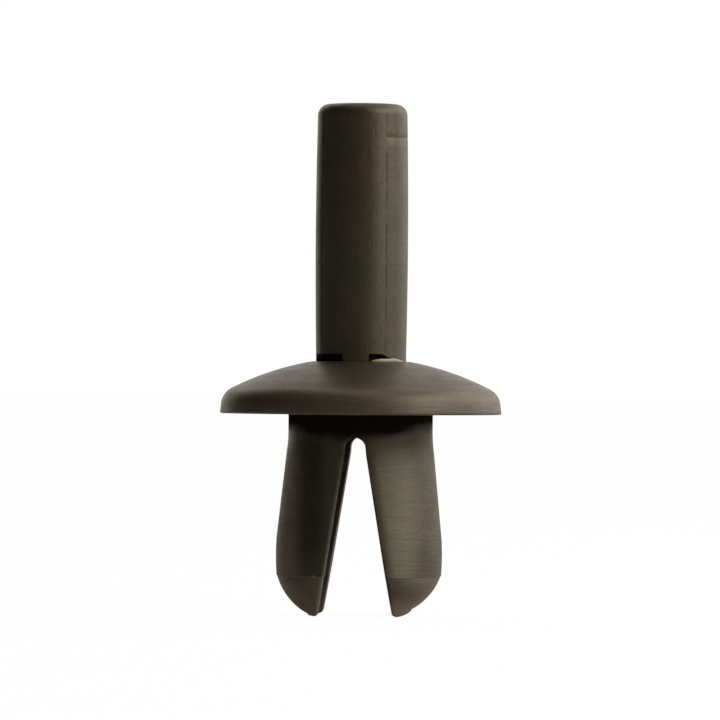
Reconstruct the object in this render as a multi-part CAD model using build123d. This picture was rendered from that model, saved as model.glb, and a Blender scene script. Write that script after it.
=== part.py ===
from build123d import *
import math
import os

# Plastic push rivet, millimetres and degrees.
#
# Frame: the origin is the centre of the head's flat seat, +Z runs up the drive pin and the
# legs hang along -Z. The slot between the legs runs through along Y, so the legs lie at -X
# and +X. Azimuths are measured from the front (-Y) towards +X.
#
# Two pieces come out of one mould. rivet_body is the domed head with its bored, split and
# splayed shank. drive_pin stands on four thin break-off webs over the bore. The first push
# shears the webs, and the pin slides down the bore and fills the legs.

# ---------------------------------------------------------------- head
head_diameter = 12.5
head_height = 2.48           # crown of the dome over the seat, before the bore is cut
rim_height = 0.88            # where dome and rim wall would meet in a sharp corner
rim_round = 0.9
rim_draft = 7.0              # lean of the rim wall
seat_edge_round = 0.08

# ---------------------------------------------------------------- shank and legs
shank_diameter = 6.4
root_length = 0.8            # straight, full round length under the head
leg_length = 8.92            # from the seat to the leg tips
right_leg_splay = 5.4        # outward lean of each leg; they sprang open unevenly
left_leg_splay = 6.4
hinge_radius = 8.0           # bend of the leg's centre line where the lean starts
belly_radius = 6.8           # bend of the leg's centre line back towards the axis
belly_height = 2.67          # widest place over the leg tips
belly_overrun = 2.3          # extra turn of the bend, trimmed level at the mould split

slot_apex_depth = 1.07       # top of the slot below the seat
slot_apex_radius = 0.465
slot_half_angle = 9.0
slot_offset = -0.09          # the slot was cut this far off the middle
slot_mouth_round = 0.3       # rounding of each leg's inner bottom corner

# ---------------------------------------------------------------- leg tips
tip_length = 1.75            # below the mould split the tip mould shapes the legs
tip_ledge = 0.02             # the tip mould is this much smaller
tip_start_angle = 16.5       # lean of the tip's outline at the mould split, seen along the slot
tip_end_angle = 64.0         # lean of the tip's outline at the leg's end
tip_side_taper = 20.0        # lean of the tip's front and back
tip_sections = 6
tip_overrun = 2.0            # extra turn of the tip's arc, trimmed level with the leg's end

# ---------------------------------------------------------------- drive pin
pin_foot_diameter = 4.0
pin_belly_diameter = 4.1
pin_top_diameter = 3.95
pin_standing_height = 11.5   # pin top over the bore's mouth, which is also the travel
pin_belly_share = 0.45       # height of the widest place, as a share of the pin
pin_top_round = 0.5
pin_clearance = 0.03         # between the pin's widest place and the bore, all round
pin_nose_length = 0.5
pin_nose_diameter = 3.3
pin_nose_end_diameter = 2.8

# ---------------------------------------------------------------- break-off webs
web_gap = 0.27               # height of the slits between the pin's foot and the head
web_width = 34.0             # angle that a regular web takes up
web_depth = 0.6              # radial thickness
web_seat = 0.06              # how far a web reaches into the bore's mouth
web_root = 0.15              # how far a web reaches up into the pin
wide_web_start = 34.0        # azimuth where the wide web on the right begins, at its top
wide_web_end = 107.0
wide_web_flank = 57.0        # lean of its slanting flank, from upright

# ---------------------------------------------------------------- tip pocket and burr
pocket_diameter = 4.6        # relief in the bore below the mould split
burr_start = 12.0            # azimuths of the torn edge left beside the wide web
burr_end = 98.0
burr_height = 0.12
burr_width = 0.16

# ---------------------------------------------------------------- worked out from the above
shank_radius = shank_diameter / 2
head_radius = head_diameter / 2
bore_radius = pin_belly_diameter / 2 + pin_clearance
belly_depth = leg_length - belly_height
tip_line_depth = leg_length - tip_length
reach = 2 * (head_diameter + leg_length)    # longer than anything that is cut through


def ring_height(radius):
    """Height of the dome over the seat at a distance from the axis."""
    top_radius = head_radius - rim_height * math.tan(math.radians(rim_draft))
    rise = head_height - rim_height
    dome_radius = (top_radius**2 + rise**2) / (2 * rise)
    drop = dome_radius - math.sqrt(dome_radius**2 - radius**2)
    return head_height - drop


mouth_height = ring_height(bore_radius)
pin_foot_height = mouth_height + web_gap
pin_top_height = mouth_height + pin_standing_height


def head():
    """Domed disc with a drafted rim, turned about Z."""
    top_radius = head_radius - rim_height * math.tan(math.radians(rim_draft))
    mid_radius = head_radius / 2
    with BuildPart() as disc:
        with BuildSketch(Plane.XZ) as section:
            with BuildLine():
                seat = Line((0, 0), (head_radius, 0))
                wall = Line(seat @ 1, (top_radius, rim_height))
                dome = ThreePointArc(wall @ 1, (mid_radius, ring_height(mid_radius)), (0, head_height))
                Line(dome @ 1, (0, 0))
            make_face()
            fillet(section.vertices().sort_by_distance((top_radius, rim_height))[0], rim_round)
            fillet(section.vertices().sort_by_distance((head_radius, 0))[0], seat_edge_round)
        revolve(axis=Axis.Z)
    return disc.part


def leg_centre_line(leg_splay):
    """A right leg's centre line in the XZ plane, from inside the head: down, out, down, back in.

    The straight lean is as long as it takes to bring the bend's widest place to belly_depth.
    """
    splay = math.radians(leg_splay)
    bends = (hinge_radius + belly_radius) * math.sin(splay)
    lean_length = (belly_depth - root_length - bends) / math.cos(splay)
    turn_in = math.degrees(math.asin((tip_line_depth - belly_depth) / belly_radius))
    root = Line((0, rim_height), (0, -root_length))
    hinge = JernArc(root @ 1, root % 1, hinge_radius, leg_splay)
    lean = Line(hinge @ 1, (hinge @ 1) + lean_length * (hinge % 1))
    belly = JernArc(lean @ 1, lean % 1, belly_radius, -(leg_splay + turn_in + belly_overrun))
    return root + hinge + lean + belly


def tip_centre(leg_splay):
    """Distance from the axis to the middle of the leg's round outline at the mould split.

    Round the belly the leg's outside is an arc of belly_radius + shank_radius.
    """
    splay = math.radians(leg_splay)
    lean_depth = belly_depth - root_length
    swing = hinge_radius * (1 - math.cos(splay)) - belly_radius * math.cos(splay)
    bend_centre = swing + (lean_depth - (hinge_radius + belly_radius) * math.sin(splay)) * math.tan(splay)
    outside_radius = belly_radius + shank_radius
    drop = tip_line_depth - belly_depth
    return bend_centre + math.sqrt(outside_radius**2 - drop**2) - shank_radius


def upper_leg(leg_splay):
    """Round bar swept down the centre line and cut off level at the mould split."""
    start = Pos(0, 0, rim_height) * Circle(shank_radius)
    bar = sweep(start, Plane.XZ * leg_centre_line(leg_splay))
    below = Pos(0, 0, -tip_line_depth - reach) * Box(4 * reach, 4 * reach, 2 * reach)
    return bar - below


def leg_tip(leg_splay):
    """Blunt nose of the leg, lofted through ellipses that shrink along the tip's arc."""
    start = math.radians(tip_start_angle)
    end = math.radians(tip_end_angle)
    tip_radius = tip_length / (math.sin(end) - math.sin(start))
    turn = end - start + math.radians(tip_overrun)
    centre_x = tip_centre(leg_splay)
    ellipses = []
    for step in range(tip_sections):
        angle = start + turn * step / (tip_sections - 1)
        depth = tip_radius * (math.sin(angle) - math.sin(start))
        shrink = tip_radius * (math.cos(start) - math.cos(angle))
        along_x = shank_radius - tip_ledge - shrink
        along_y = shank_radius - tip_ledge - depth * math.tan(math.radians(tip_side_taper))
        ellipses.append(Pos(centre_x, 0, -tip_line_depth - depth) * Ellipse(along_x, along_y))
    return loft(ellipses)


def leg(leg_splay):
    """One solid leg, as if on the right, with nothing past the middle of the rivet."""
    right_half = Pos(reach, 0, 0) * Box(2 * reach, 4 * reach, 4 * reach)
    return (upper_leg(leg_splay) + leg_tip(leg_splay)) & right_half


def slot():
    """Through cut between the legs: a V with a round apex and a mouth that rounds outwards."""
    half = math.radians(slot_half_angle)
    apex_centre = -slot_apex_depth - slot_apex_radius
    mouth_depth = leg_length - slot_mouth_round * (1 - math.sin(half))
    apex = CenterArc((0, apex_centre), slot_apex_radius, slot_half_angle, 90 - slot_half_angle)
    side_start = apex @ 0
    side_end_x = side_start.X + (side_start.Y + mouth_depth) * math.tan(half)
    side = Line(side_start, (side_end_x, -mouth_depth))
    mouth = JernArc(side @ 1, side % 1, slot_mouth_round, 90 - slot_half_angle)
    rest = Polyline(mouth @ 1, (reach, -leg_length), (reach, -reach), (0, -reach), apex @ 1)
    half_profile = make_face(apex + side + mouth + rest)
    profile = half_profile + mirror(half_profile, about=Plane.YZ)
    return Pos(slot_offset, 0, 0) * extrude(Plane.XZ * profile, reach, both=True)


def burr():
    """Torn lip of plastic on the bore's mouth, half oval in section."""
    radius = bore_radius + burr_width / 2
    section = Ellipse(burr_width / 2, burr_height)
    lip = revolve(Plane.XZ * Pos(radius, mouth_height) * section, Axis.Z, burr_end - burr_start)
    return Rot(0, 0, burr_start - 90) * lip


def rivet_body():
    """Head, shank and legs with the bore, the slot and the relief in the tips cut out."""
    right, left = leg(right_leg_splay), mirror(leg(left_leg_splay), about=Plane.YZ)
    blank = head() + right + left
    bore = Cylinder(bore_radius, 4 * reach)
    pocket = Pos(0, 0, -tip_line_depth - reach) * Cylinder(pocket_diameter / 2, 2 * reach)
    return blank + burr() - bore - pocket - slot()


def web(start, end):
    """One break-off web: a curved block between two azimuths, flush with the pin's foot."""
    outer = pin_foot_diameter / 2
    low = mouth_height - web_seat
    high = pin_foot_height + web_root
    section = Pos(outer - web_depth / 2, (low + high) / 2) * Rectangle(web_depth, high - low)
    block = revolve(Plane.XZ * section, Axis.Z, end - start)
    return Rot(0, 0, start - 90) * block


def wide_web():
    """The web on the right tore wide: its front flank slants from the pin's foot to the back."""
    below = Pos(0, 0, -reach / 2) * Box(reach, reach, reach)
    under_flank = Pos(0, 0, pin_foot_height) * Rot(wide_web_flank - 90, 0, 0) * below
    return web(wide_web_start, wide_web_end) - Rot(0, 0, wide_web_start - 90) * under_flank


def drive_pin():
    """Slightly barrelled pin with a rounded top, a short nose below and the four webs."""
    foot = pin_foot_diameter / 2
    belly = pin_belly_diameter / 2
    top = pin_top_diameter / 2
    belly_height = pin_foot_height + pin_belly_share * (pin_top_height - pin_foot_height)
    nose_height = pin_foot_height - pin_nose_length
    with BuildPart() as pin:
        with BuildSketch(Plane.XZ) as section:
            with BuildLine():
                lower = Polyline(
                    (0, nose_height),
                    (pin_nose_end_diameter / 2, nose_height),
                    (pin_nose_diameter / 2, pin_foot_height),
                    (foot, pin_foot_height),
                )
                side = ThreePointArc(lower @ 1, (belly, belly_height), (top, pin_top_height))
                Polyline(side @ 1, (0, pin_top_height), (0, nose_height))
            make_face()
            fillet(section.vertices().sort_by_distance((top, pin_top_height))[0], pin_top_round)
        revolve(axis=Axis.Z)
    half = web_width / 2
    webs = web(-half, half) + web(180 - half, 180 + half) + web(270 - half, 270 + half)
    return pin.part + webs + wide_web()


os.makedirs("parts", exist_ok=True)
for name, piece in {"rivet_body": rivet_body(), "drive_pin": drive_pin()}.items():
    export_step(piece, f"parts/{name}.step")
    print(name, round(piece.volume, 3), "mm3")
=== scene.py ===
# %% [markdown]
# Plastic push rivet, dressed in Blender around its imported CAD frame.
#
# The rivet is one black nylon moulding: a domed head with a bored, split and splayed shank, and a
# drive pin that stands over the bore on thin break-off webs. The frame is the CAD's: the origin is
# the centre of the head's flat seat, +Z runs up the pin, the legs hang down at -X and +X, and the
# slot between them runs through along Y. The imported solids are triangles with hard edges, so both
# pieces are modelled again here with the soft edges, mould lines and torn webs of a real moulding.

# %% Load the frame
import math

import bmesh
import bpy
from mathutils import Matrix, Vector


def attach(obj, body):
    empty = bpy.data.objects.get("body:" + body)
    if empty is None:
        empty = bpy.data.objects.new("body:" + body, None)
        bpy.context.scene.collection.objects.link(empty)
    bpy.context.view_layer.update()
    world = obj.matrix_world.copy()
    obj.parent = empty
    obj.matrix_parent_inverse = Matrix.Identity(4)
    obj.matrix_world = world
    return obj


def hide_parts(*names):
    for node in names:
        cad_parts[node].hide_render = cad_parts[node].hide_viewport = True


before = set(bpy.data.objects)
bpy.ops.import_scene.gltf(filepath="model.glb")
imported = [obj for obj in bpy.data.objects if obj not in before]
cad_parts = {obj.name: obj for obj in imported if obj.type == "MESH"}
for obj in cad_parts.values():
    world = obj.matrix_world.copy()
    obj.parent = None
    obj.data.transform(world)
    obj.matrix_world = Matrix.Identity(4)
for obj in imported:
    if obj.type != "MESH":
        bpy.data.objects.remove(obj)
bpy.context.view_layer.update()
MM = 0.001

# %% [markdown]
# The camera. A long lens stands a quarter of a metre away, a little to the right of the slot's
# direction and a little over the head's seat, so the pin is seen from just below its top and the
# leg tips from just above. It is rolled by less than half a degree, because the rivet stands a
# touch out of plumb. A Track To constraint could aim a camera too, but working out its turn once
# leaves it free of other objects and takes the roll in as well.

# %% Camera
CAMERA_DISTANCE = 254 * MM
CAMERA_AZIMUTH = 3.2
CAMERA_HEIGHT = 2.0 * MM
CAMERA_ROLL = 0.4
VIEW_WIDTH = 31.93 * MM
VIEW_CENTRE = Vector((-0.047, 0, 2.39)) * MM


def aim(thing, target, roll=0.0):
    """Turns a camera or a lamp to look at a target, rolled by some degrees."""
    turn = (target - thing.location).to_track_quat("-Z", "Y").to_matrix()
    thing.rotation_euler = (turn @ Matrix.Rotation(math.radians(roll), 3, "Z")).to_euler()


azimuth = math.radians(CAMERA_AZIMUTH)
camera_place = Vector((math.sin(azimuth), -math.cos(azimuth), 0)) * CAMERA_DISTANCE
camera_place.z = CAMERA_HEIGHT
bpy.ops.object.camera_add(location=camera_place)
camera = bpy.context.object
camera.name = "studio_camera"
aim(camera, VIEW_CENTRE, CAMERA_ROLL)
camera.data.sensor_width = 36
camera.data.lens = camera.data.sensor_width * CAMERA_DISTANCE / VIEW_WIDTH
camera.data.clip_start = 10 * MM
camera.data.clip_end = 3
bpy.context.scene.camera = camera
print("lens", round(camera.data.lens, 1), "mm")

# %% [markdown]
# Ways of working. Every piece starts as one vertex that is extruded from point to point into a
# profile. A profile is then spun about the axis, as on a lathe, or extruded straight. Blender's
# tools compare distances with small fixed limits, so the work is done at one unit to the
# millimetre, and a finished piece is scaled to metres once. Parts of a mesh are selected by place.

# %% Helpers for edit mode
ROUND_STEPS = 128
TOUCHING = 0.0005


def only(piece):
    """Selects one object and nothing else."""
    bpy.ops.object.select_all(action="DESELECT")
    piece.select_set(True)
    bpy.context.view_layer.objects.active = piece


def edit(piece):
    """Goes into edit mode on one object, with all of its mesh selected."""
    only(piece)
    bpy.ops.object.mode_set(mode="EDIT")
    bpy.ops.mesh.select_all(action="SELECT")


def leave():
    bpy.ops.object.mode_set(mode="OBJECT")


def pick(piece, test):
    """In edit mode, selects the vertices whose place passes a test, and what lies between them."""
    mesh = bmesh.from_edit_mesh(piece.data)
    for vertex in mesh.verts:
        vertex.select = test(vertex.co)
    mesh.select_flush_mode()
    bmesh.update_edit_mesh(piece.data)


def trace(name, points):
    """A line of vertices in the XZ plane: one vertex is extruded from point to point."""
    bpy.ops.object.select_all(action="DESELECT")
    bpy.ops.mesh.primitive_plane_add(size=1)
    piece = bpy.context.object
    piece.name = name
    edit(piece)
    bpy.ops.mesh.merge(type="CENTER")
    bpy.ops.transform.translate(value=(points[0][0], 0, points[0][1]))
    for (x0, z0), (x1, z1) in zip(points, points[1:]):
        bpy.ops.mesh.extrude_region_move(TRANSFORM_OT_translate={"value": (x1 - x0, 0, z1 - z0)})
    bpy.ops.mesh.select_all(action="SELECT")
    return piece


def outward():
    """In edit mode, closes up touching vertices and points all faces outwards."""
    bpy.ops.mesh.select_all(action="SELECT")
    bpy.ops.mesh.remove_doubles(threshold=TOUCHING)
    bpy.ops.mesh.normals_make_consistent(inside=False)


def turned(name, points, steps=ROUND_STEPS):
    """A round piece, spun about Z from a profile of (radius, height) points."""
    piece = trace(name, points)
    bpy.ops.mesh.spin(steps=steps, angle=2 * math.pi, center=(0, 0, 0), axis=(0, 0, 1))
    outward()
    leave()
    return piece


def combine(piece, other, operation):
    """Cuts, joins or crosses two closed pieces with a Boolean modifier and deletes the second."""
    only(piece)
    bpy.ops.object.modifier_add(type="BOOLEAN")
    modifier = piece.modifiers[-1]
    modifier.operation = operation
    modifier.solver = "EXACT"
    modifier.object = other
    bpy.ops.object.modifier_apply(modifier=modifier.name)
    bpy.data.objects.remove(other)
    print(piece.name, operation.lower(), len(piece.data.polygons), "faces")


def azimuth_of(co):
    """Degrees from the front (-Y) towards +X."""
    return math.degrees(math.atan2(co.x, -co.y))


def near(angle, target, reach):
    """Whether an angle lies within a reach of a target, all in degrees."""
    return abs((angle - target + 180) % 360 - 180) < reach


def arc(centre, radius, start, end, steps):
    """Points on an arc, with angles in degrees from +X towards +Z."""
    turns = [math.radians(start + (end - start) * step / steps) for step in range(steps + 1)]
    return [(centre[0] + radius * math.cos(t), centre[1] + radius * math.sin(t)) for t in turns]


print("a full turn has", ROUND_STEPS, "columns of", 360 / ROUND_STEPS, "degrees")

# %% [markdown]
# The head is a flat-seated dome. The mould was turned with one broad radius, and a smaller radius
# rolls it over into the drafted rim. One profile makes all that is round: it starts on the bore's
# wall, rolls over the mouth, runs out over the dome, round the rim, back along the seat and down
# the shank's straight root. It is traced by extruding one vertex and then spun. A flattened
# sphere would be quicker, but its rim would be wrong, and the rim is what one sees.

# %% Head sizes and profile
HEAD_RADIUS = 6.25
HEAD_HEIGHT = 2.51
RIM_HEIGHT = 0.9
RIM_ROUND = 0.86
RIM_DRAFT = 7.0
SEAT_EDGE_ROUND = 0.08
SEAT_EDGE_STEP = 0.01
SHANK_RADIUS = 3.2
ROOT_LENGTH = 0.8
ROOT_ROUND = 0.1
BORE_RADIUS = 2.08
MOUTH_ROUND = 0.09
MOUTH_STEPS, DOME_STEPS, RIM_STEPS, SEAT_STEPS, ROOT_STEPS = 6, 26, 14, 6, 5

draft = math.radians(RIM_DRAFT)
rim_top_radius = HEAD_RADIUS - RIM_HEIGHT * math.tan(draft)
dome_rise = HEAD_HEIGHT - RIM_HEIGHT
dome_radius = (rim_top_radius**2 + dome_rise**2) / (2 * dome_rise)
dome_centre = HEAD_HEIGHT - dome_radius


def dome_height(radius):
    """Height of the dome over the seat, at a radius."""
    return dome_centre + math.sqrt(dome_radius**2 - radius**2)


# The rim's rounding touches the inside of the dome and of the leaning rim wall.
wall_up = Vector((-math.sin(draft), math.cos(draft)))
wall_in = Vector((-math.cos(draft), -math.sin(draft)))
from_dome = Vector((HEAD_RADIUS, -dome_centre)) + wall_in * RIM_ROUND
along = from_dome.dot(wall_up)
across = from_dome.length_squared - (dome_radius - RIM_ROUND) ** 2
climb = math.sqrt(along**2 - across) - along
rim_centre = Vector((HEAD_RADIUS, 0)) + wall_in * RIM_ROUND + wall_up * climb
dome_end = math.degrees(math.atan2(rim_centre.y - dome_centre, rim_centre.x))

mouth_centre = (BORE_RADIUS + MOUTH_ROUND, dome_height(BORE_RADIUS + MOUTH_ROUND) - MOUTH_ROUND)
dome_start = math.degrees(math.acos((BORE_RADIUS + MOUTH_ROUND) / dome_radius))
edge_centre = (HEAD_RADIUS - SEAT_EDGE_ROUND / math.cos(draft) - SEAT_EDGE_STEP, SEAT_EDGE_ROUND)
head_profile = [(BORE_RADIUS, -ROOT_LENGTH)]
head_profile += arc(mouth_centre, MOUTH_ROUND, 180, dome_start, MOUTH_STEPS)
head_profile += arc((0, dome_centre), dome_radius, dome_start, dome_end, DOME_STEPS)[1:]
head_profile += arc(rim_centre, RIM_ROUND, dome_end, RIM_DRAFT, RIM_STEPS)[1:]
head_profile += arc(edge_centre, SEAT_EDGE_ROUND, RIM_DRAFT, -90, SEAT_STEPS)
root_centre = (SHANK_RADIUS + ROOT_ROUND, -ROOT_ROUND)
head_profile += arc(root_centre, ROOT_ROUND, 90, 180, ROOT_STEPS)
head_profile += [(SHANK_RADIUS, -ROOT_LENGTH)]
head = turned("push_rivet_head", head_profile)
print("head profile of", len(head_profile), "points, dome radius", round(dome_radius, 2), "mm")

# %% [markdown]
# The legs. Below the root the shank is split by a slot, a V with a round top, and the two legs
# have sprung outwards, the left one a little more. They bulge, and below the mould line a second
# mould shaped blunt tips with a wider hollow. The first try was made by hand: the ring under the
# head extruded step by step, the slot cut with a Boolean and its edges bevelled. The cut crosses
# the rings at such a shallow angle that the bevel came out jagged. So the legs are drawn row by
# row instead: every row is a level section whose points are worked out, with the rounding of the
# edges in it, and the rows are joined to strips of quads. First come the sizes. Depths run down
# from the seat, and side 1 is the right leg, -1 the left one.

# %% Leg sizes
LEG_LENGTH = 8.92
SPLAY = {1: math.radians(5.4), -1: math.radians(6.4)}
HINGE_RADIUS = 8.0
BELLY_RADIUS = 6.8
BELLY_DEPTH = LEG_LENGTH - 2.67
LINE_DEPTH = LEG_LENGTH - 1.75
TIP_LEDGE = 0.02
TIP_LEANS = {1: (18.0, 68.0), -1: (16.5, 66.5)}
TIP_SIDE_TAPER = math.tan(math.radians(16.0))
TIP_SQUARENESS = 1.3
TIP_SLIMMING = {1: 0.18, -1: 0.03}
SLIMMING_LEFT_AT_END = 0.3
END_SUDDENNESS = 30
POCKET_RADIUS = 2.3
SLOT_APEX_DEPTH = 1.03
SLOT_APEX_RADIUS = 0.48
SLOT_ANGLE = math.radians(9.2)
SLOT_OFFSET = -0.086
SLOT_MOUTH_ROUND = 0.19
LEG_EDGE_ROUND = 0.09
TIP_EDGE_ROUND = 0.17
BORE_EDGE_ROUND = 0.05
END_ROUND = 0.18

apex_depth = SLOT_APEX_DEPTH + SLOT_APEX_RADIUS
flank_depth = apex_depth + SLOT_APEX_RADIUS * math.sin(SLOT_ANGLE)
mouth_depth = LEG_LENGTH - SLOT_MOUTH_ROUND * (1 - math.sin(SLOT_ANGLE))


def slot_half(depth):
    """Half width of the slot at a depth: round apex, straight flank, rounded mouth."""
    if depth < flank_depth:
        return math.sqrt(SLOT_APEX_RADIUS**2 - (apex_depth - depth) ** 2)
    flank = SLOT_APEX_RADIUS * math.cos(SLOT_ANGLE)
    half = flank + (min(depth, mouth_depth) - flank_depth) * math.tan(SLOT_ANGLE)
    if depth > mouth_depth:
        rise = (depth - LEG_LENGTH) / SLOT_MOUTH_ROUND + 1
        half += SLOT_MOUTH_ROUND * (math.cos(SLOT_ANGLE) - math.sqrt(max(0, 1 - rise**2)))
    return half


def bent_bar(depth, side):
    """Centre and half width along X of a leg above the mould line, cut level at a depth."""
    splay = SPLAY[side]
    hinge_end = ROOT_LENGTH + HINGE_RADIUS * math.sin(splay)
    belly_start = BELLY_DEPTH - BELLY_RADIUS * math.sin(splay)
    if depth < hinge_end:
        lean = math.asin((depth - ROOT_LENGTH) / HINGE_RADIUS)
        return HINGE_RADIUS * (1 - math.cos(lean)), SHANK_RADIUS / math.cos(lean)
    centre = HINGE_RADIUS * (1 - math.cos(splay))
    centre += (min(depth, belly_start) - hinge_end) * math.tan(splay)
    lean = splay
    if depth > belly_start:
        lean = math.asin((BELLY_DEPTH - depth) / BELLY_RADIUS)
        centre += BELLY_RADIUS * (math.cos(lean) - math.cos(splay))
    return centre, SHANK_RADIUS / math.cos(lean)


def outer_section(depth, side, below_line):
    """A leg's outline cut level: centre, half widths along X and Y, and squareness."""
    if not below_line:
        centre, half_x = bent_bar(depth, side)
        return centre, half_x, SHANK_RADIUS, 2.0
    outline = BELLY_RADIUS + SHANK_RADIUS
    centre = bent_bar(BELLY_DEPTH, side)[0] - BELLY_RADIUS - SHANK_RADIUS
    centre += math.sqrt(outline**2 - (LINE_DEPTH - BELLY_DEPTH) ** 2)
    drop = depth - LINE_DEPTH
    first, last = (math.radians(lean) for lean in TIP_LEANS[side])
    tip_radius = (LEG_LENGTH - LINE_DEPTH) / (math.sin(last) - math.sin(first))
    angle = math.asin(math.sin(first) + drop / tip_radius)
    start = SHANK_RADIUS - TIP_LEDGE
    half_x = start - tip_radius * (math.cos(first) - math.cos(angle))
    share = drop / (LEG_LENGTH - LINE_DEPTH)
    let_up = (1 - SLIMMING_LEFT_AT_END) * share**END_SUDDENNESS
    half_x -= TIP_SLIMMING[side] * share**2 * (1 - let_up)
    return centre, half_x, start - drop * TIP_SIDE_TAPER, 2 + TIP_SQUARENESS * share


print("slot", round(2 * slot_half(LINE_DEPTH), 2), "mm wide at the mould line")

# %% [markdown]
# The slot's edges are softly rounded, as all moulded edges are. A Bevel modifier would round a
# finished mesh, but here the rounding is part of every row. A rib runs from the leg's outline over
# a rounded corner, along the slot's flank and over a second rounded corner into the bore. A
# quadratic curve with the sharp corner as its middle point draws each rounding.

# %% Rounded edges of the slot
CORNER_STEPS = 4


def rounding(first, corner, last):
    """Points of a quadratic curve from first to last that bends towards the corner."""
    shares = [step / CORNER_STEPS for step in range(CORNER_STEPS + 1)]
    return [first * (1 - t) ** 2 + corner * 2 * t * (1 - t) + last * t**2 for t in shares]


def across(section, x):
    """Half width along Y of an outline at a distance x from the axis."""
    centre, half_x, half_y, squareness = section
    return half_y * (1 - abs((x - centre) / half_x) ** squareness) ** (1 / squareness)


def rib(section, bore, x, depth, edge_round, away=(1, 0)):
    """Front edge of the slot at one place, from the outline to the bore, for the right leg."""
    out_x, out_z = x + edge_round * away[0], -depth + edge_round * away[1]
    in_x, in_z = x + BORE_EDGE_ROUND * away[0], -depth + BORE_EDGE_ROUND * away[1]
    outside, inside = across(section, x), math.sqrt(bore**2 - x**2)
    front = rounding(
        Vector((out_x, -across(section, out_x), out_z)),
        Vector((x, -outside, -depth)),
        Vector((x, -outside + edge_round, -depth)),
    )
    rear = rounding(
        Vector((x, -inside - BORE_EDGE_ROUND, -depth)),
        Vector((x, -inside, -depth)),
        Vector((in_x, -math.sqrt(bore**2 - in_x**2), in_z)),
    )
    return front + rear


print("a rib has", 2 * (CORNER_STEPS + 1), "points")

# %% [markdown]
# One level row of a leg has four parts: the outline from the front edge round to the back edge,
# the bore's wall, and a rib at each edge. The tip is cut off level, but the wider hollow breaks
# out through its slope before that, in a low notch. A Boolean would leave slivers there, so each
# column of the tip looks for its own end by halving the way again and again.

# %% Rows of a leg
OUTLINE_STEPS = 44
EDGE_SHARE = 0.4
INSET_SHARE = 0.5
END_THINNING = 0.22
THINNEST_END = 0.15
HALVINGS = 16


def edge_rounding(thickness, below_line):
    """Rounding of the slot's outer edge, which a thin leg leaves no room for."""
    return min(TIP_EDGE_ROUND if below_line else LEG_EDGE_ROUND, EDGE_SHARE * thickness)


def outline_point(share, side, level, below_line):
    """A point of the level outline. Share runs from -1 at the front edge to 1 at the back edge."""
    x = slot_half(level) + side * SLOT_OFFSET
    centre, half_x, half_y, squareness = outer_section(level, side, below_line)
    edge_round = edge_rounding(centre + half_x - x, below_line)
    turn = share * math.acos(((x + edge_round - centre) / half_x) ** (squareness / 2))
    out_x = centre + half_x * math.cos(turn) ** (2 / squareness)
    out_y = math.copysign(half_y * abs(math.sin(turn)) ** (2 / squareness), share)
    return Vector((out_x, out_y, -level))


def column_end(share, side):
    """Depth at which a column of the tip ends: the leg's end, or where the hollow breaks out."""
    low, high = LINE_DEPTH, LEG_LENGTH
    for _ in range(HALVINGS):
        middle = (low + high) / 2
        if outline_point(share, side, middle, True).xy.length > POCKET_RADIUS + THINNEST_END:
            low = middle
        else:
            high = middle
    return high


def leg_row(depth, side, below_line=False, inset=0.0):
    """Outline, bore wall and front rib of one row. Inset rounds the leg's end."""
    bore = POCKET_RADIUS if below_line else BORE_RADIUS
    x = slot_half(depth) + side * SLOT_OFFSET
    centre, half_x, half_y, squareness = outer_section(depth, side, below_line)
    half_x -= min(inset, INSET_SHARE * (centre + half_x - x))
    section = (centre, half_x, half_y - inset, squareness)
    edge_round = edge_rounding(centre + half_x - x, below_line)
    edge = rib(section, bore + inset, x, depth, edge_round)
    outline, wall = [edge[0]], [edge[-1]]
    for step in range(1, OUTLINE_STEPS):
        share = 2 * step / OUTLINE_STEPS - 1
        level = depth
        if below_line:
            reach = (depth - LINE_DEPTH) / (LEG_LENGTH - LINE_DEPTH)
            level = LINE_DEPTH + (column_end(share, side) - LINE_DEPTH) * reach
        point = outline_point(share, side, level, below_line)
        out = point.xy.length
        shrink = min(inset, END_THINNING * (out - bore))
        point.xy *= 1 - shrink / out
        outline.append(point)
        level_x = slot_half(level) + side * SLOT_OFFSET + BORE_EDGE_ROUND
        turn = share * math.acos(level_x / (bore + shrink))
        wall.append(Vector((math.cos(turn), math.sin(turn), 0)) * (bore + shrink))
        wall[-1].z = -level
    for line, end in ((outline, edge[0]), (wall, edge[-1])):
        line.append(Vector((end.x, -end.y, end.z)))
    return outline, wall, edge


print("a row has", 2 * (OUTLINE_STEPS + 1) + 4 * (CORNER_STEPS + 1), "points")

# %% [markdown]
# The strips. Rows of points could be skinned by an operator such as Bridge Edge Loops, but that
# pairs them anew at each step. Here every row has the same number of points, so quads between
# neighbours are laid straight into one bmesh. Above the slot's round top the rows are whole rings,
# and they fan down into the arch by sharing out their depth column by column.

# %% Strips of quads
FAN_ROWS = 6
legs = bmesh.new()


def spread(start, end, steps):
    """Evenly spaced values from start to end."""
    return [start + (end - start) * step / steps for step in range(steps + 1)]


def strip(rows):
    """Joins rows of points to quads in the legs' mesh."""
    grid = [[legs.verts.new(point) for point in row] for row in rows]
    for upper, lower in zip(grid, grid[1:]):
        for corners in zip(upper, upper[1:], lower[1:], lower):
            legs.faces.new(corners)


def to_side(points, side, back=False):
    """Mirrors points of the right leg's front to the leg and face that they are for."""
    return [Vector((side * p.x, -p.y if back else p.y, p.z)) for p in points]


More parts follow.
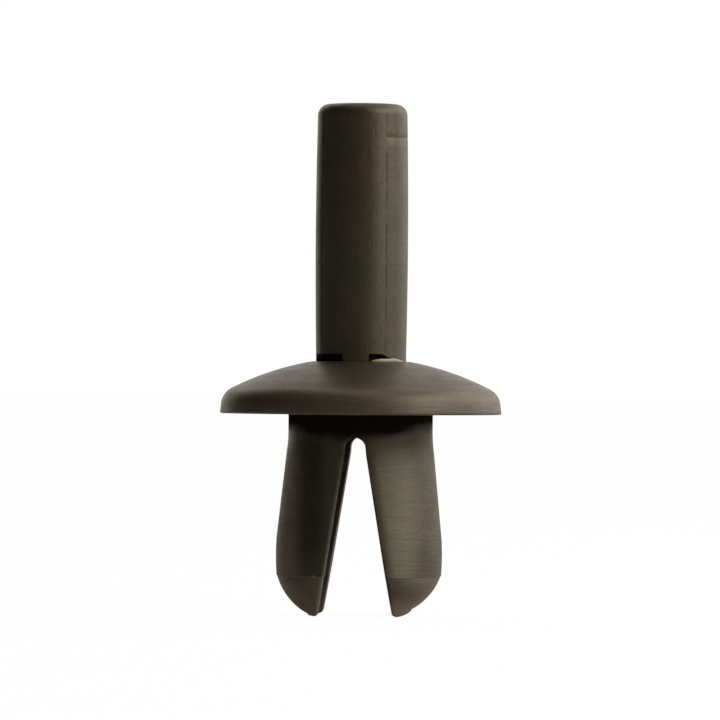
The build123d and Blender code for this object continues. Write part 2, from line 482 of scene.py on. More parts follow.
def fan(targets, radius, first_turn):
    """Rows from the evenly divided ring at the root down to the targets, on the round surface."""
    rows = []
    for share in spread(0, 1, FAN_ROWS):
        row = []
        for column, target in enumerate(targets):
            turn = first_turn + column * 2 * math.pi / ROUND_STEPS
            end_turn = math.atan2(target.y, target.x)
            end_turn += 2 * math.pi * round((turn - end_turn) / (2 * math.pi))
            turn += (end_turn - turn) * share
            out = radius + (math.hypot(target.x, target.y) - radius) * share**2
            depth = ROOT_LENGTH + (-target.z - ROOT_LENGTH) * share
            row.append(Vector((out * math.cos(turn), out * math.sin(turn), -depth)))
        rows.append(row)
    return rows


print("a fan has", FAN_ROWS, "rows of quads")

# %% [markdown]
# Both legs. The rows stand closer in the belly and the tip, where the curves are tighter, and the
# last few step inwards, which rounds the leg's end. The two moulds left a fine ledge where they
# met: it is a pair of rows a few thousandths of a millimetre apart, one of each mould.

# %% Draw the legs
BELLY_START = 5.4
STRAIGHT_ROWS = 12
BELLY_ROWS = 9
TIP_ROWS = 16
END_ROWS = 5
LEDGE_HALF = 0.002
ARCH_STEPS = 20
ARCH_TURN = math.radians(80)

legs_start = apex_depth - SLOT_APEX_RADIUS * math.cos(ARCH_TURN)
leg_turn = math.pi * OUTLINE_STEPS / ROUND_STEPS
end_start = LEG_LENGTH - END_ROUND
above_line = spread(legs_start, BELLY_START, STRAIGHT_ROWS)
above_line += spread(BELLY_START, LINE_DEPTH - LEDGE_HALF, BELLY_ROWS)[1:]
arch_ends = {}
for side in SPLAY:
    rows = [leg_row(depth, side) for depth in above_line]
    rows += [leg_row(depth, side, True) for depth in spread(LINE_DEPTH + LEDGE_HALF, end_start, TIP_ROWS)]
    for turn in spread(0, math.pi / 2, END_ROWS)[1:]:
        depth = end_start + END_ROUND * math.sin(turn)
        rows.append(leg_row(depth, side, True, END_ROUND * (1 - math.cos(turn))))
    strip([to_side(outline, side) for outline, wall, edge in rows])
    strip([to_side(wall, side) for outline, wall, edge in rows])
    strip([to_side(rows[-1][0], side), to_side(rows[-1][1], side)])
    for back in (False, True):
        edges = [to_side(edge, side, back) for outline, wall, edge in rows]
        arch_ends[side, back] = edges[0]
        strip(edges)
        legs.faces.new([legs.verts.new(point) for point in edges[-1]])
    for points, radius in ((rows[0][0], SHANK_RADIUS), (rows[0][1], BORE_RADIUS)):
        strip([to_side(row, side) for row in fan(points, radius, -leg_turn)])
print(len(rows), "rows to a leg")

# %% [markdown]
# The arch over the slot has ribs of its own, square to its curve, so that its edge is rounded like
# the legs'. Where two strips meet they have the same points, so merging the doubles welds them.

# %% Arch over the slot
for back in (False, True):
    arch_ribs = [arch_ends[-1, back]]
    for turn in spread(-ARCH_TURN, ARCH_TURN, ARCH_STEPS)[1:-1]:
        depth = apex_depth - SLOT_APEX_RADIUS * math.cos(turn)
        x = SLOT_OFFSET + SLOT_APEX_RADIUS * math.sin(turn)
        side = 1 if x > 0 else -1
        away = (side * math.sin(turn), math.cos(turn))
        level = outer_section(depth, side, False)
        edge = rib(level, BORE_RADIUS, abs(x), depth, LEG_EDGE_ROUND, away)
        arch_ribs.append(to_side(edge, side, back))
    arch_ribs.append(arch_ends[1, back])
    strip(arch_ribs)
    first_turn = math.pi / 2 * (1 if back else -1) - math.pi * ARCH_STEPS / ROUND_STEPS
    for end, radius in ((0, SHANK_RADIUS), (-1, BORE_RADIUS)):
        targets = [points[end] for points in arch_ribs]
        if back:
            targets.reverse()
        strip(fan(targets, radius, first_turn))

leg_data = bpy.data.meshes.new("push_rivet_legs")
legs.to_mesh(leg_data)
legs.free()
leg_piece = bpy.data.objects.new("push_rivet_legs", leg_data)
bpy.context.scene.collection.objects.link(leg_piece)
edit(leg_piece)
outward()
leave()
print("legs of", len(leg_data.polygons), "faces")

# %% [markdown]
# Head and legs are one moulding, so they become one mesh. A Boolean could join them too, but the
# legs' top ring was divided as evenly as the head's spun ring, so merging the doubles welds the
# two all round. A closed mesh has no open edges.

# %% Join head and legs
only(head)
leg_piece.select_set(True)
bpy.ops.object.join()
body = head
edit(body)
outward()
leave()


def report_mesh(piece):
    """Prints whether a mesh is closed, and the space that it fills."""
    mesh = bmesh.new()
    mesh.from_mesh(piece.data)
    open_edges = sum(not edge.is_manifold for edge in mesh.edges)
    print(piece.name, open_edges, "open edges,", round(mesh.calc_volume(), 2), "cubic mm")
    mesh.free()


report_mesh(body)

# %% [markdown]
# The burr. At the mouth of the bore, on the front right, the break-off edge was squeezed up into a
# thin, uneven lip. A ring with a flattened round section is cut to the lip's reach, each of its
# columns is scaled about its own middle so that the lip rises and dies away, and a Boolean melts
# it into the dome. The Boolean is safe here, because the lip crosses only smooth, wide faces.

# %% Burr
BURR_RADIUS = 2.17
BURR_HALF_WIDTH = 0.08
BURR_HEIGHT = 0.14
BURR_SIDES = 12
BURR_SINK = 0.02
BURR_REACH = (13.0, 63.0)
BURR_LOWEST = 0.25
BURR_WAVES = ((0.06, 0.31, 0), (0.05, 0.73, 1))
ONE_COLUMN = 0.5

burr_level = dome_height(BURR_RADIUS)
burr_base = burr_level - BURR_SINK
burr_middle = sum(BURR_REACH) / 2
column = 360 / ROUND_STEPS
bpy.ops.object.select_all(action="DESELECT")
bpy.ops.mesh.primitive_torus_add(
    major_segments=ROUND_STEPS,
    minor_segments=BURR_SIDES,
    major_radius=BURR_RADIUS,
    minor_radius=BURR_HALF_WIDTH,
    location=(0, 0, burr_base),
)
burr = bpy.context.object
bpy.ops.object.transform_apply(location=True, rotation=True, scale=True)
edit(burr)
pick(burr, lambda co: not near(azimuth_of(co), burr_middle, burr_middle - BURR_REACH[0]))
bpy.ops.mesh.delete(type="VERT")
bpy.ops.mesh.select_all(action="SELECT")
bpy.ops.mesh.fill_holes(sides=0)
for step in range(ROUND_STEPS):
    angle = step * column
    share = (angle - BURR_REACH[0]) / (BURR_REACH[1] - BURR_REACH[0])
    if 0 <= share <= 1:
        pick(burr, lambda co: near(azimuth_of(co), angle, ONE_COLUMN))
        rise = max(BURR_LOWEST, math.sin(math.pi * share) ** 0.5)
        rise *= 1 + sum(high * math.sin(pace * angle + start) for high, pace, start in BURR_WAVES)
        turn = math.radians(angle)
        middle = (BURR_RADIUS * math.sin(turn), -BURR_RADIUS * math.cos(turn), burr_base)
        tall = rise * (BURR_HEIGHT + BURR_SINK) / BURR_HALF_WIDTH
        bpy.ops.transform.resize(value=(rise**0.5, rise**0.5, tall), center_override=middle)
outward()
leave()
combine(body, burr, "UNION")
report_mesh(body)

# %% [markdown]
# A finished piece is shaded smooth where its faces meet at less than 40 degrees, so that round
# forms are soft and real edges stay crisp. A Subdivision modifier would smooth it too, but would
# move the measured edges. Then it is scaled to metres, and its place stays in its mesh. It is then
# hung on the empty of its body, and the imported solid that it stands for is hidden.

# %% Finish a piece
SMOOTH_BELOW = math.radians(40)


def finish_mesh(piece, part_name, body_name, slot_name, *nodes):
    """Smooth shading, metres, and the calls that make it a piece of the part."""
    only(piece)
    bpy.ops.object.shade_smooth_by_angle(angle=SMOOTH_BELOW)
    bpy.ops.transform.resize(value=(MM, MM, MM))
    bpy.ops.object.transform_apply(location=True, rotation=True, scale=True)
    piece.name = part_name
    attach(piece, body_name)
    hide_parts(*nodes)
    places = [vertex.co / MM for vertex in piece.data.vertices]
    box = [round(end(place[i] for place in places), 3) for end in (min, max) for i in range(3)]
    print(part_name, len(piece.data.polygons), "faces, box in mm", box)


finish_mesh(body, "push_rivet_body", "rivet_body", "body_nylon", "rivet_body")

# %% [markdown]
# The drive pin is a slim barrel with a rounded top, a short nose that hangs in the bore, and a
# flat foot. A scaled cylinder would be too straight: the real pin is a few hundredths of a
# millimetre wider at its belly. So its profile is traced and spun like the head's, with one row
# of points where a line goes round below its top.

# %% Drive pin sizes and profile
PIN_FOOT_RADIUS = 2.0
PIN_BELLY_RADIUS = 2.05
PIN_TOP_RADIUS = 1.975
PIN_TOP_ROUND = 0.5
PIN_STANDING_HEIGHT = 11.39
PIN_BELLY_SHARE = 0.45
PIN_NOSE_LENGTH = 0.5
PIN_NOSE_RADII = (1.65, 1.4)
NOSE_TAPER = 0.1
WEB_GAP = 0.32
WITNESS_DROP = 1.52
WITNESS_HALF = 0.05
SIDE_ROWS, SHOULDER_ROWS, TOP_STEPS = 24, 4, 12

mouth_height = dome_height(BORE_RADIUS)
foot_height = mouth_height + WEB_GAP
top_height = mouth_height + PIN_STANDING_HEIGHT
belly_height = foot_height + PIN_BELLY_SHARE * (top_height - foot_height)


def barrel_radius(height):
    """Radius of the pin's side: a parabola through foot, belly and top."""
    places = [(foot_height, PIN_FOOT_RADIUS)]
    places += [(belly_height, PIN_BELLY_RADIUS), (top_height, PIN_TOP_RADIUS)]
    radius = 0
    for place, value in places:
        for other, _ in places:
            if other != place:
                value *= (height - other) / (place - other)
        radius += value
    return radius


nose_height = foot_height - PIN_NOSE_LENGTH
pin_profile = [(0, nose_height), (PIN_NOSE_RADII[1], nose_height)]
pin_profile += [(PIN_NOSE_RADII[0], nose_height + NOSE_TAPER), (PIN_NOSE_RADII[0], foot_height)]
rounding_start = top_height - PIN_TOP_ROUND
witness_height = top_height - WITNESS_DROP
heights = spread(foot_height, witness_height - WITNESS_HALF, SIDE_ROWS) + [witness_height]
heights += spread(witness_height + WITNESS_HALF, rounding_start, SHOULDER_ROWS)
pin_profile += [(barrel_radius(height), height) for height in heights]
round_centre = (barrel_radius(rounding_start) - PIN_TOP_ROUND, rounding_start)
pin_profile += arc(round_centre, PIN_TOP_ROUND, 0, 90, TOP_STEPS)[1:]
pin_profile += [(0, top_height)]
pin = turned("push_rivet_pin", pin_profile)
print("pin from", round(nose_height, 2), "to", round(top_height, 2), "mm")

# %% [markdown]
# Where the mould's four slides met, fine lines run up the pin, and one goes round below its top, on
# the right. Lines in the material would not break the light at the pin's outline, so those columns
# and that row of the mesh are pulled in a little. Once the webs are on, the pin is turned until
# the lines are at their true azimuth.

# %% Lines on the pin
SLIDE_AZIMUTH = 35.4
SLIDE_LINE_DEPTH = 0.016
LINE_ENDS = (0.2, 0.45)
WITNESS_REACH = 44

slide_shift = SLIDE_AZIMUTH - round(SLIDE_AZIMUTH / column) * column
inward = 1 - SLIDE_LINE_DEPTH / PIN_BELLY_RADIUS


def pull_in(test):
    """Moves the vertices that pass a test a little towards the axis."""
    pick(pin, test)
    bpy.ops.transform.resize(value=(inward, inward, 1), center_override=(0, 0, 0))


def on_side(co):
    """Whether a place is on the pin's side, between the ends of its lines."""
    return foot_height + LINE_ENDS[0] < co.z < top_height - LINE_ENDS[1]


edit(pin)
for line in range(4):
    line_azimuth = SLIDE_AZIMUTH - slide_shift + 90 * line
    pull_in(lambda co: on_side(co) and near(azimuth_of(co), line_azimuth, column / 2))
middle = SLIDE_AZIMUTH - slide_shift + 45
pull_in(lambda co: abs(co.z - witness_height) < 0.01 and near(azimuth_of(co), middle, WITNESS_REACH))
leave()
print("four slide lines, the first at", SLIDE_AZIMUTH, "degrees")

# %% [markdown]
# The break-off webs. Four short bridges hold the pin over the bore until the first push. Three are
# plain, and the one on the right tore wide in moulding, with a slanting flank. They are extruded
# down from the pin's foot, just as the plastic flowed, so that pin and webs stay one surface. Boxes
# joined by a Boolean would leave seams there. The slanting flank is made by lifting the wide web's
# first columns one by one, together with the nose's rim behind them.

# %% Webs
WEB_WIDTH = 34.0
WEB_MARGIN = 0.1
WEB_SEAT = 0.06
WEB_INNER = 1.6
WEB_MIDDLES = (-3.0, 177.0, 267.0)
WIDE_WEB = (32.0, 107.0)
WIDE_WEB_FLANK = 69.0

web_drop = WEB_GAP + WEB_SEAT
web_foot = foot_height - web_drop
webs = [(middle - WEB_WIDTH / 2, middle + WEB_WIDTH / 2) for middle in WEB_MIDDLES] + [WIDE_WEB]
flank_reach = math.degrees(web_drop * math.tan(math.radians(WIDE_WEB_FLANK)) / PIN_FOOT_RADIUS)


def on_foot(co):
    """Whether a place is on the flat of the pin's foot."""
    return abs(co.z - foot_height) < 0.01 and math.hypot(co.x, co.y) > PIN_NOSE_RADII[0] - 0.01


def under_web(co):
    """Whether a place is at the foot of the webs, or lower on the nose's rim."""
    return co.z < web_foot + 0.001 and math.hypot(co.x, co.y) > WEB_INNER


edit(pin)
for start, end in webs:
    middle, reach = (start + end) / 2, (end - start) / 2 + WEB_MARGIN
    pick(pin, lambda co: on_foot(co) and near(azimuth_of(co), middle, reach))
    bpy.ops.mesh.extrude_region_move(TRANSFORM_OT_translate={"value": (0, 0, -web_drop)})
for step in range(ROUND_STEPS):
    angle = step * column
    lift = web_drop * (1 - (angle - WIDE_WEB[0]) / flank_reach)
    if WIDE_WEB[0] - column / 2 < angle and lift > 0:
        pick(pin, lambda co: under_web(co) and near(azimuth_of(co), angle, ONE_COLUMN))
        bpy.ops.transform.translate(value=(0, 0, min(lift, web_drop)))
bpy.ops.mesh.select_all(action="SELECT")
bpy.ops.transform.rotate(value=-math.radians(slide_shift), orient_axis="Z", center_override=(0, 0, 0))
outward()
leave()
report_mesh(pin)
finish_mesh(pin, "push_rivet_pin", "drive_pin", "pin_nylon", "drive_pin")

# %% [markdown]
# Shader sums are written as Python sums. `Amount` wraps the socket that carries a number, and each
# operator on it adds one Math node, so that a finish reads like the formula it is.

# %% Shader sums
class Amount:
    """A number that a shader socket carries."""

    def __init__(self, finish, socket):
        self.finish, self.socket = finish, socket

    def __add__(self, other):
        return self.finish.sum("ADD", self, other)

    def __sub__(self, other):
        return self.finish.sum("SUBTRACT", self, other)

    def __rsub__(self, other):
        return self.finish.sum("SUBTRACT", other, self)

    def __mul__(self, other):
        return self.finish.sum("MULTIPLY", self, other)

    def __abs__(self):
        return self.finish.sum("ABSOLUTE", self)

    __radd__ = __add__
    __rmul__ = __mul__


# %% [markdown]
# Nodes could be laid out in the Shader editor, but short methods are easier to read and change.
# The one used most is `ramp`: it turns a measure, such as a height, into a mask with a soft edge.

# %% Finishes
class Finish:
    """The node tree of a material or a world, and short ways to add to it."""

    def __init__(self, owner):
        owner.use_nodes = True
        self.owner = owner
        self.nodes, self.links = owner.node_tree.nodes, owner.node_tree.links

    def node(self, kind, settings, values):
        """Adds a node. Its settings come first, because they decide which sockets it has."""
        node = self.nodes.new(kind)
        for name, value in settings.items():
            setattr(node, name, value)
        for name, value in values.items():
            self.feed(node.inputs[name], value)
        return node

    def feed(self, socket, value):
        """Gives a socket a plain value, or the value that another socket carries."""
        if isinstance(value, Amount):
            value = value.socket
        if isinstance(value, bpy.types.NodeSocket):
            self.links.new(value, socket)
        else:
            socket.default_value = value

    def sum(self, operation, *values):
        """One Math node on amounts and plain numbers."""
        node = self.node("ShaderNodeMath", {"operation": operation}, dict(enumerate(values)))
        return Amount(self, node.outputs[0])

    def vector(self, operation, *values):
        """One Vector Math node on places and plain triples of numbers."""
        node = self.node("ShaderNodeVectorMath", {"operation": operation}, dict(enumerate(values)))
        return node.outputs[0]

    def axes(self, place):
        """The three numbers of a place."""
        parts = self.node("ShaderNodeSeparateXYZ", {}, {"Vector": place}).outputs
        return [Amount(self, parts[axis]) for axis in "XYZ"]

    def distance(self, place, centre=(0, 0, 0), counted=(1, 1, 1)):
        """Distance of a place from a centre. A 0 in counted leaves that axis out."""
        way = self.vector("MULTIPLY", self.vector("SUBTRACT", place, centre), counted)
        length = self.node("ShaderNodeVectorMath", {"operation": "LENGTH"}, {0: way})
        return Amount(self, length.outputs["Value"])

    def ramp(self, value, low, high, start=0.0, end=1.0):
        """Rises softly from start to end while the value goes from low to high."""
        values = {"Value": value, "From Min": low, "From Max": high, "To Min": start, "To Max": end}
        node = self.node("ShaderNodeMapRange", {"interpolation_type": "SMOOTHSTEP"}, values)
        return Amount(self, node.outputs["Result"])

    def noise(self, place, per_mm, shift, detail=3.0, roughness=0.6):
        """Cloudy pattern about 0.5. Its grain per millimetre can differ along X, Y and Z."""
        grains = self.vector("MULTIPLY_ADD", place, per_mm, (shift, shift, shift))
        values = {"Vector": grains, "Scale": 1.0, "Detail": detail, "Roughness": roughness}
        return Amount(self, self.node("ShaderNodeTexNoise", {}, values).outputs["Fac"])

    def colour(self, share, first, second):
        """One colour that fades over into another."""
        node = self.node("ShaderNodeMix", {"data_type": "RGBA"}, {0: share, 6: first, 7: second})
        return node.outputs[2]

    def mixed(self, share, first, second):
        """Ends the finish in a mix of two shaders."""
        end = self.node("ShaderNodeMixShader", {}, {0: share, 1: first, 2: second})
        self.feed(self.nodes["Material Output"].inputs["Surface"], end.outputs[0])


# %% [markdown]
# The plastic. Rivet and pin are moulded in black nylon, which is never quite black: the smooth skin
# shows a warm sheen, the colour drifts between brown and olive, and flow lines run across the legs
# and along the pin. Drift, blotches and grain are noises from wide to fine, each with its grain per
# millimetre and a shift. One noise alone would look like paint or sand. Flow lines are noise that
# is stretched along the flow, and they only show in the relief and the gloss.

# %% Nylon
BROWN = (0.040, 0.026, 0.017, 1)
OLIVE = (0.029, 0.030, 0.020, 1)
SOOT = (0.019, 0.017, 0.013, 1)
SEAM_AND_SHADE_DARK = (0.008, 0.007, 0.006, 1)
WARM_SHEEN = (1.0, 0.88, 0.66, 1)
DRIFT = ((0.33, 0.33, 0.25), 4.0)
BLOTCHES = ((1.1, 1.1, 0.9), 11.0)
GRAIN = ((7.0, 7.0, 7.0), 23.0)
FLOW_SHIFT = 31.0
SKIN_ROUGHNESS = 0.4
BLOTCH_MATTING, FLOW_MATTING, GRAIN_MATTING, WORN_MATTING = 0.16, 0.2, 0.12, 0.14
SKIN_DEPTH = 0.012
GRAIN_RELIEF, WORN_RELIEF, BLOTCH_RELIEF = 0.7, 0.2, 0.8


def nylon(name, lay, flow_relief, own_wear):
    """Black nylon. Lay is the flow lines' grain per millimetre along X, Y and Z."""
    finish = Finish(bpy.data.materials.new(name))
    coat = finish.nodes["Principled BSDF"]
    centre = finish.node("ShaderNodeTexCoord", {}, {}).outputs["Object"]
    place = finish.vector("MULTIPLY", centre, (1 / MM, 1 / MM, 1 / MM))
    drift = finish.noise(place, *DRIFT)
    blotch = finish.noise(place, *BLOTCHES)
    grain = finish.noise(place, *GRAIN)
    flow = finish.noise(place, lay, FLOW_SHIFT, roughness=0.65)

    tone = finish.colour(finish.ramp(drift, 0.3, 0.7), BROWN, OLIVE)
    tone = finish.colour(finish.ramp(blotch * 0.7 + grain * 0.3, 0.3, 0.68), tone, SOOT)
    tone, worn, dirt_and_shade = own_wear(finish, place, tone)
    finish.feed(coat.inputs["Base Color"], tone)
    uneven = (blotch - 0.5) * BLOTCH_MATTING + (flow - 0.5) * FLOW_MATTING
    uneven = uneven + (grain - 0.5) * GRAIN_MATTING + worn * WORN_MATTING
    finish.feed(coat.inputs["Roughness"], SKIN_ROUGHNESS + uneven)
    skin = (grain - 0.5) * (GRAIN_RELIEF + worn * WORN_RELIEF)
    skin = skin + (flow - 0.5) * flow_relief + (blotch - 0.5) * BLOTCH_RELIEF
    values = {"Height": skin, "Distance": SKIN_DEPTH * MM, "Strength": 1.0}
    finish.feed(coat.inputs["Normal"], finish.node("ShaderNodeBump", {}, values).outputs["Normal"])
    coat.inputs["Specular Tint"].default_value = WARM_SHEEN
    # A dark, dull second shader: dirt in the pin's slide lines, painted shade in its other places.
    dull = {"Base Color": SEAM_AND_SHADE_DARK, "Roughness": 1.0, "Specular IOR Level": 0.0}
    grime_and_shade = finish.node("ShaderNodeBsdfPrincipled", {}, dull)
    finish.mixed(dirt_and_shade, coat.outputs["BSDF"], grime_and_shade.outputs["BSDF"])
    return finish.owner


# %% [markdown]
# Wear and painted light on the body. Handling rubbed the legs and the head's rim and frayed the
# line above the tips. The tan of the tips and the lighter bore wall are painted light, the lighter
# olive on the right leg's front is partly painted light, and the torn burr's pale lip is partly a
# painted highlight. Each is a mask, a product of ramps over heights and distances, and streaks
# break some of them up. A painted texture could show the wear too, but masks need no unwrapping.
# Each pair of numbers says where a mask starts and where it is full.

# %% Wear and painted light on the body
TIP_PAINTED_BOUNCE = (0.070, 0.057, 0.041, 1)
RUBBED_AND_LIT_BROWN = (0.110, 0.084, 0.057, 1)
SCUFFED_AND_LIT_OLIVE = (0.098, 0.091, 0.067, 1)
TORN_PALE_AND_GLINT = (0.30, 0.275, 0.225, 1)
STREAKS = ((0.7, 0.7, 5.0), 61.0)
LEG_DOWN, SCUFF_DOWN = (-0.6, -2.4), (-1.1, -2.7)
TIP_DOWN = (-LINE_DEPTH + 0.02, -LINE_DEPTH - 0.03)
NOSE_DOWN = (-LEG_LENGTH + 1.1, -LEG_LENGTH + 0.2)
BORE_WALL, LEFT_SIDE, FRONT = (2.8, 2.45), (-2.0, -3.2), (0.0, -1.0)
HEAD_RIM, RIM_SHARE = (5.2, 6.0), 0.35
SLOT_LEAN, SLOT_SIDE, RIGHT_SIDE = 0.156, (0.26, 0.74), (3.2, 2.0)
TIP_SLOPE, SLOPE_SIDE = 0.76, (-2.5, -3.5)
NICK_PLACE, NICK_REACH = (-1.82, -2.85, -7.12), (0.1, 0.02)


def body_wear(finish, place, tone):
    """Worn legs, painted light on the tips and bore wall, the burr's pale lip, and painted shade."""
    x, y, z = finish.axes(place)
    reach = finish.distance(place, counted=(1, 1, 0))
    streaks = finish.noise(place, *STREAKS)
    patchy = finish.ramp(streaks, 0.2, 0.7, 0.6, 1.0)
    leg = finish.ramp(z, *LEG_DOWN)
    tip = finish.ramp(z, *TIP_DOWN)
    # Painted light: the bore's wall in the legs is lightened, as if light reached into the slot.
    tone = finish.colour(leg * finish.ramp(reach, *BORE_WALL), tone, RUBBED_AND_LIT_BROWN)
    rubbed = leg * finish.ramp(x, *LEFT_SIDE) + finish.ramp(reach, *HEAD_RIM) * RIM_SHARE
    tone = finish.colour(rubbed * patchy, tone, RUBBED_AND_LIT_BROWN)
    # Partly scuffs, partly painted light: a lighter olive on the right leg's front, where the key light
    # falls.
    from_slot = x + z * SLOT_LEAN
    scuffed_and_lit = finish.ramp(from_slot, *SLOT_SIDE) * finish.ramp(x, *RIGHT_SIDE) * (1 - tip)
    scuffed_and_lit = scuffed_and_lit * finish.ramp(y, *FRONT) * finish.ramp(z, *SCUFF_DOWN)
    tone = finish.colour(scuffed_and_lit * patchy, tone, SCUFFED_AND_LIT_OLIVE)
    # Painted light from below: the tips are tan, the left one most, with the lowest millimetre and the
    # left tip's lower slope lighter still.
    right_tip_bounce = finish.ramp(from_slot, 0.4, 2.2, 0.0, 0.8)
    tone = finish.colour(tip * finish.ramp(x, 1.0, -1.0, right_tip_bounce, 1.0), tone, TIP_PAINTED_BOUNCE)
    slope = tip * finish.ramp(x + (z + LINE_DEPTH) * TIP_SLOPE, *SLOPE_SIDE)
    tone = finish.colour(finish.ramp(z, *NOSE_DOWN) + slope, tone, RUBBED_AND_LIT_BROWN)
    frayed = finish.ramp(abs(z + LINE_DEPTH), 0.05, 0.01) * finish.ramp(x, 0.0, -1.2)
    frayed = frayed * finish.ramp(streaks, 0.3, 0.65, 0.1, 0.35)
    nick = finish.ramp(finish.distance(place, NICK_PLACE), *NICK_REACH) * 0.7
    tone = finish.colour(frayed + nick, tone, TORN_PALE_AND_GLINT)
    # The burr's pale lip is partly torn, whitened plastic and partly a painted highlight on its rim.
    lip = finish.ramp(abs(reach - BURR_RADIUS), BURR_HALF_WIDTH + 0.02, 0.03)
    lip = lip * finish.ramp(z, burr_level, burr_level + 0.05)
    return finish.colour(lip, tone, TORN_PALE_AND_GLINT), leg, corner_painted_shade(finish, place, reach)


# %% [markdown]
# The darker, duller second shader lays painted shade here, and a mask says how much of it shows.
# It paints the head's shadow into the corner under the head, down to a wavering edge that hangs
# lowest at the slot, and two streaks of painted shade run from there down the front.

# %% Painted shade on the body
WANDER = ((0.6, 0.6, 0.6), 71.0, 2.0, 0.5)
CORNER_EDGE = (2.9, 0.6, -1.0, -1.45)
RIGHT_SHADE_STREAK, LEFT_SHADE_STREAK = 0.42, 0.45


def corner_painted_shade(finish, place, reach):
    """Painted shade: the head's shadow in the corner under it, and streaks of shade down the front."""
    x, y, z = finish.axes(place)
    waver = (finish.noise(place, *WANDER) - 0.5) * 0.6
    corner = finish.ramp(z + waver - finish.ramp(abs(x), *CORNER_EDGE), 0.0, 0.7)
    corner = corner * finish.ramp(reach, 3.5, 3.35) * finish.ramp(z, 0.2, 0.0)
    right = finish.ramp(z, -2.1, -1.1) * finish.ramp(x, 0.6, 2.0) * RIGHT_SHADE_STREAK
    left = finish.ramp(abs(x + 2.0), 0.9, 0.2) * finish.ramp(z, -LINE_DEPTH, -LINE_DEPTH + 1.5)
    shade_streaks = (right + left * LEFT_SHADE_STREAK) * finish.ramp(z, -0.3, -0.8) * finish.ramp(y, *FRONT)
    return corner + shade_streaks


# %% [markdown]
# Wear and painted shade on the pin. Dirt settled in the lines that run up the pin, in dashes rather
# than in one stroke. Painted shade darkens the underside of the foot and the nose under it. A patch
# over the foot was rubbed dull. The distance from a line comes from the angle round the axis: the
# sine of twice that angle is zero at each of the four lines.

# %% Wear and painted shade on the pin
DASHES = ((0.2, 0.2, 1.4), 47.0, 2.0)
LINE_DIRT, FOOT_PAINTED_SHADE = 0.45, 0.9
RUBBED_PLACE, RUBBED_REACH = (0.9, -1.8, 3.2), (1.3, 0.3)


def pin_wear(finish, place, tone):
    """Dirt in the slide lines, painted shade under the foot, and a rubbed patch at the front right."""
    x, y, z = finish.axes(place)
    from_line = finish.sum("ARCTAN2", x, y * -1) - math.radians(SLIDE_AZIMUTH)
    off_line = abs(finish.sum("SINE", from_line * 2)) * (PIN_BELLY_RADIUS / 2)
    dashes = finish.noise(place, *DASHES)
    line = finish.ramp(off_line + (dashes - 0.5) * 0.05, 0.075, 0.02)
    line = line * finish.ramp(dashes, 0.3, 0.6) * finish.ramp(z, foot_height, foot_height + 0.2)
    line = line * finish.ramp(z, top_height - 0.4, top_height - 0.7)
    rubbed = finish.ramp(finish.distance(place, RUBBED_PLACE), *RUBBED_REACH)
    reach = finish.distance(place, counted=(1, 1, 0))
    under_foot_shade = finish.ramp(reach, PIN_NOSE_RADII[0] + 0.15, PIN_NOSE_RADII[0] + 0.05)
    under_foot_shade = under_foot_shade * finish.ramp(z, foot_height + 0.05, foot_height)
    return tone, rubbed, line * LINE_DIRT + under_foot_shade * FOOT_PAINTED_SHADE


# %% [markdown]
# The legs' flow lines lie level, because the plastic ran round the bore, so their noise is fine
# along Z. The pin's run up it, so theirs is fine across it.

# %% Put the nylon on
body_nylon = nylon("black nylon, flow across", (0.5, 0.5, 6.5), 1.2, body_wear)
pin_nylon = nylon("black nylon, flow along", (3.5, 3.5, 0.4), 0.9, pin_wear)
for piece, material in ((body, body_nylon), (pin, pin_nylon)):
    piece.data.materials.clear()
    piece.data.materials.append(material)
print("nylon nodes", len(body_nylon.node_tree.nodes), len(pin_nylon.node_tree.nodes))

# %% [markdown]
# The studio. The rivet stands on paper in a white surround. The camera sees the surround in plain
# white, reflections see it warmer, and as light it is dimmed, so that shaded sides stay dark. For
# the camera alone, a glow lifts the paper almost to white and still lets the shadow show. To other
# rays it is grey, or it would light the legs from below. From below the paper is clear.

# %% World and floor
AMBIENT = 0.7
WHITE = (1, 1, 1, 1)
WARM_WHITE = (1.0, 0.95, 0.86, 1)
FLOOR_SIZE = 4
FLOOR_LIFT = 0.97
PAPER_GREY = (0.5, 0.5, 0.5, 1)
PAPER_ROUGHNESS = 0.9
TABLE_GLOW = 0.16

bpy.context.scene.view_settings.view_transform = "Standard"
world = Finish(bpy.data.worlds.new("white surround"))
bpy.context.scene.world = world.owner
path = world.node("ShaderNodeLightPath", {}, {}).outputs
kinds = ("Camera", "Glossy", "Transmission")
direct, mirrored, through = (Amount(world, path[f"Is {kind} Ray"]) for kind in kinds)
background = world.nodes["Background"].inputs
world.feed(background["Color"], world.colour(direct + through, WARM_WHITE, WHITE))
world.feed(background["Strength"], world.ramp(direct + mirrored + through, 0, 1, AMBIENT, 1))
print("surround as light", AMBIENT)

bpy.ops.object.select_all(action="DESELECT")
bpy.ops.mesh.primitive_plane_add(size=FLOOR_SIZE, location=(0, 0, -LEG_LENGTH * MM))
floor = bpy.context.object
floor.name = "floor"
paper = Finish(bpy.data.materials.new("white paper"))
sheet = paper.nodes["Principled BSDF"]
sheet.inputs["Roughness"].default_value = PAPER_ROUGHNESS
glow = paper.node("ShaderNodeEmission", {}, {"Color": WHITE, "Strength": 1.0})
seen = Amount(paper, paper.node("ShaderNodeLightPath", {}, {}).outputs["Is Camera Ray"])
paper.feed(sheet.inputs["Base Color"], paper.colour(seen, PAPER_GREY, WHITE))
lift = paper.ramp(seen, 0, 1, TABLE_GLOW, FLOOR_LIFT)
surface = {0: lift, 1: sheet.outputs["BSDF"], 2: glow.outputs["Emission"]}
top = paper.node("ShaderNodeMixShader", {}, surface)
below = Amount(paper, paper.node("ShaderNodeNewGeometry", {}, {}).outputs["Backfacing"])
see_through = paper.node("ShaderNodeBsdfTransparent", {}, {})
paper.mixed(below, top.outputs[0], see_through.outputs[0])
floor.data.materials.append(paper.owner)

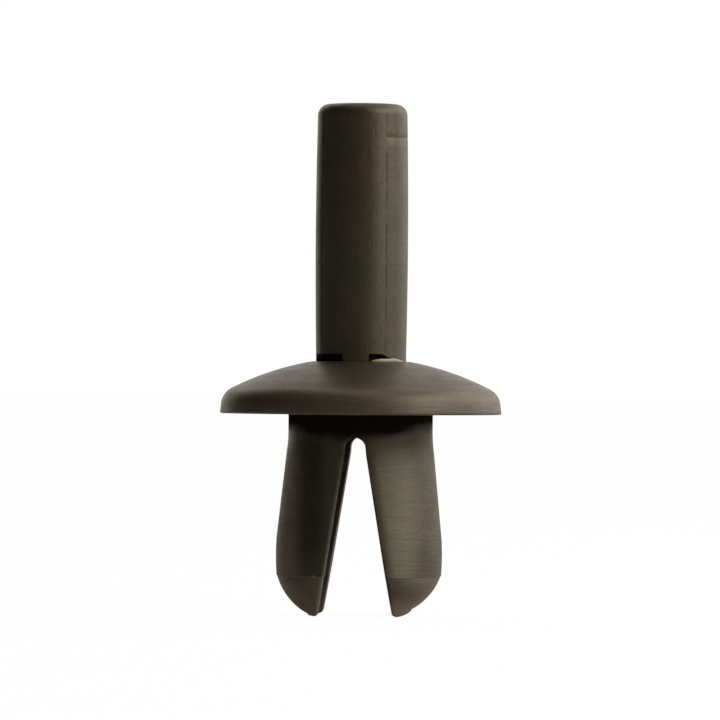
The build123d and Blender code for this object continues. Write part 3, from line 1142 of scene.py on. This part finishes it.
# %% [markdown]
# A dark card bends round the front left, as a black flag in a studio does: it keeps the white out
# of that half of the sheen, so that round forms read. The soft box on the right gives the long
# highlight down the pin, and a weaker, taller one at the rear right lights the edge there.

# %% Card and lamps
CARD_BLACK = (0.02, 0.02, 0.02, 1)
CARD_RADIUS = 0.34
CARD_HEIGHT = 0.9
CARD_AZIMUTHS = (-136, 36)
CARD_COLUMNS = 72
LAMP_TARGET = Vector((0, 0, 2)) * MM

bpy.ops.object.select_all(action="DESELECT")
bpy.ops.mesh.primitive_cylinder_add(
    vertices=CARD_COLUMNS,
    radius=CARD_RADIUS,
    depth=CARD_HEIGHT,
    end_fill_type="NOTHING",
    location=(0, 0, CARD_HEIGHT / 2 - LEG_LENGTH * MM),
)
card = bpy.context.object
card.name = "dark card"
bpy.ops.object.transform_apply(location=True, rotation=True, scale=True)
edit(card)
card_middle, card_reach = sum(CARD_AZIMUTHS) / 2, (CARD_AZIMUTHS[1] - CARD_AZIMUTHS[0]) / 2
pick(card, lambda co: not near(azimuth_of(co), card_middle, card_reach))
bpy.ops.mesh.delete(type="VERT")
leave()
black = Finish(bpy.data.materials.new("black card"))
black.feed(black.nodes["Principled BSDF"].inputs["Base Color"], CARD_BLACK)
black.feed(black.nodes["Principled BSDF"].inputs["Roughness"], 1.0)
card.data.materials.append(black.owner)
card.visible_camera = False


def soft_box(name, place, size, radiance):
    """A rectangular lamp that faces the rivet. Its power follows from how bright it looks."""
    bpy.ops.object.light_add(type="AREA", location=place)
    lamp = bpy.context.object
    lamp.name = name
    lamp.data.shape = "RECTANGLE"
    lamp.data.size, lamp.data.size_y = size
    lamp.data.energy = radiance * math.pi * size[0] * size[1]
    lamp.data.color = WARM_WHITE[:3]
    aim(lamp, LAMP_TARGET)
    lamp.visible_camera = False
    print(name, round(lamp.data.energy, 2), "W")


soft_box("right soft box", (0.205, -0.085, 0.13), (0.24, 0.22), 3.7)
soft_box("rear right soft box", (0.18, 0.12, 0.12), (0.18, 0.24), 1.5)
